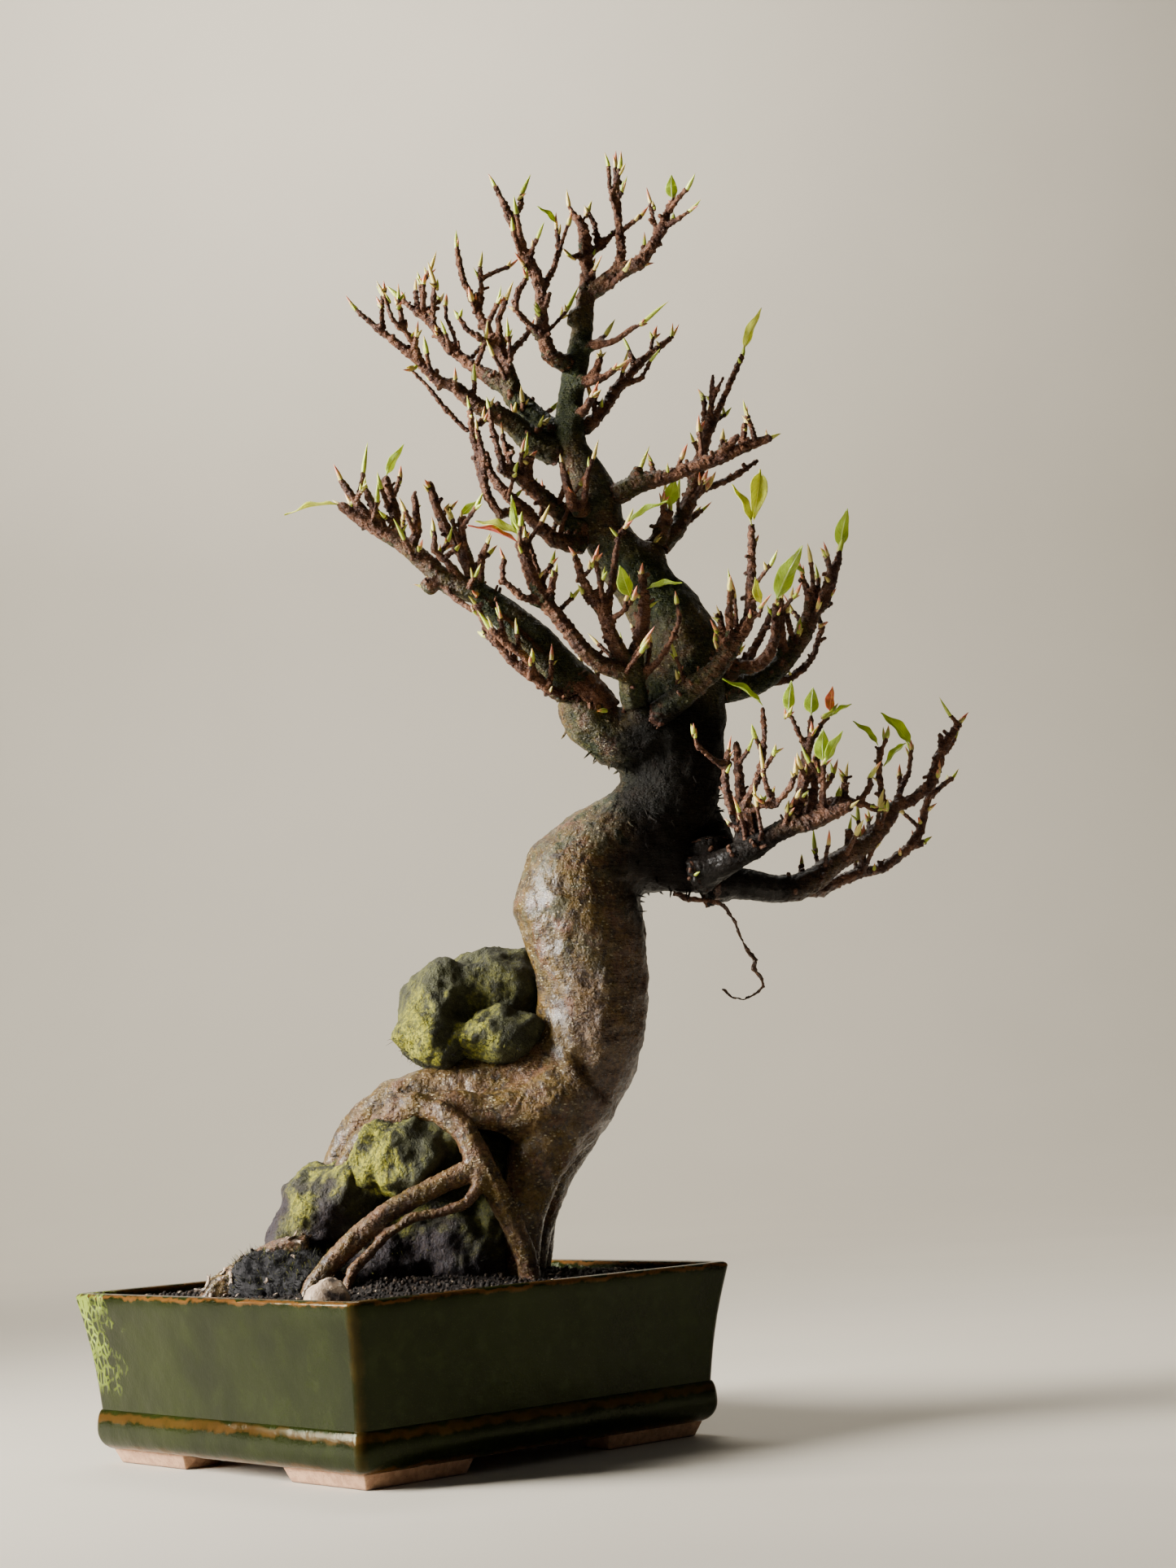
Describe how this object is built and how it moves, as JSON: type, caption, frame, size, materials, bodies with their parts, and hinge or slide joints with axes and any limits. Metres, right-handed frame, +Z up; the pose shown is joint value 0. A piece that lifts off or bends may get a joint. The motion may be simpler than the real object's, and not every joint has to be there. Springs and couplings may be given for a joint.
{
  "type": "potted bonsai tree",
  "caption": "Root-over-rock fig bonsai with a winding trunk, bare forked branches and a few new leaves, in a square glazed pot on corner feet.",
  "frame": {"origin": "centre of the bounding box of the whole plant, on the surface that the pot's feet stand on", "axes": "+Z up; +X and +Y along the pot's sides; the tree's front faces between -X and -Y"},
  "size_m": [0.4014, 0.3384, 0.72],
  "materials": {
    "glaze": "dark olive green gloss glaze, unglazed tan feet",
    "screen_plastic": "black, matt",
    "soil": "dark damp grit and bark",
    "stone": "olive grey, with yellow-green lichen",
    "moss": "dark fibrous moss",
    "trunk_bark": "grey-tan to golden brown bark, slightly glossy",
    "branch_bark": "reddish brown young bark",
    "leaf_green": "glossy lime green",
    "leaf_young": "yellow-green",
    "leaf_red": "pink-red young leaf"
  },
  "bodies": {
    "root": {"aerial_root": "trunk_bark", "branch_front": "branch_bark", "branch_inner_left": "branch_bark", "branch_left": "branch_bark", "branch_low_right": "branch_bark", "branch_low_right_front": "branch_bark", "branch_right": "branch_bark", "branch_right_fork": "branch_bark", "branch_right_front": "branch_bark", "branch_right_upper": "branch_bark", "crown_centre": "branch_bark", "crown_left": "branch_bark", "crown_low_left": "branch_bark", "crown_right_low": "branch_bark", "crown_top": "branch_bark", "drain_screen_1": "screen_plastic", "drain_screen_2": "screen_plastic", "foot_left_back": "glaze", "foot_left_front": "glaze", "foot_right_back": "glaze", "foot_right_front": "glaze", "leaf_fork_stub": "leaf_green", "leaf_fork_tip": "leaf_young", "leaf_front_broad": "leaf_young", "leaf_front_low": "leaf_green", "leaf_front_red": "leaf_red", "leaf_front_right": "leaf_green", "leaf_front_side": "leaf_green", "leaf_front_upright": "leaf_green", "leaf_left_shoot": "leaf_green", "leaf_left_small": "leaf_green", "leaf_left_tip": "leaf_young", "leaf_long_a": "leaf_green", "leaf_long_b": "leaf_green", "leaf_long_c": "leaf_green", "leaf_low_a": "leaf_green", "leaf_low_b": "leaf_green", "leaf_low_c": "leaf_red", "leaf_low_d": "leaf_green", "leaf_low_e": "leaf_green", "leaf_low_f": "leaf_green", "leaf_low_tall": "leaf_green", "leaf_right_front_left": "leaf_young", "leaf_right_front_spur": "leaf_young", "leaf_right_front_tip": "leaf_young", "leaf_right_inner": "leaf_green", "leaf_right_stub": "leaf_green", "leaf_right_tip": "leaf_green", "leaf_top_centre": "leaf_green", "leaf_top_right": "leaf_green", "loose_stone": "stone", "moss_mound": "moss", "pot": "glaze", "soil": "soil", "stone_base": "stone", "stone_left": "stone", "stone_middle": "stone", "stone_upper": "stone", "surface_root": "trunk_bark", "trunk": "trunk_bark"}
  },
  "joints": []
}
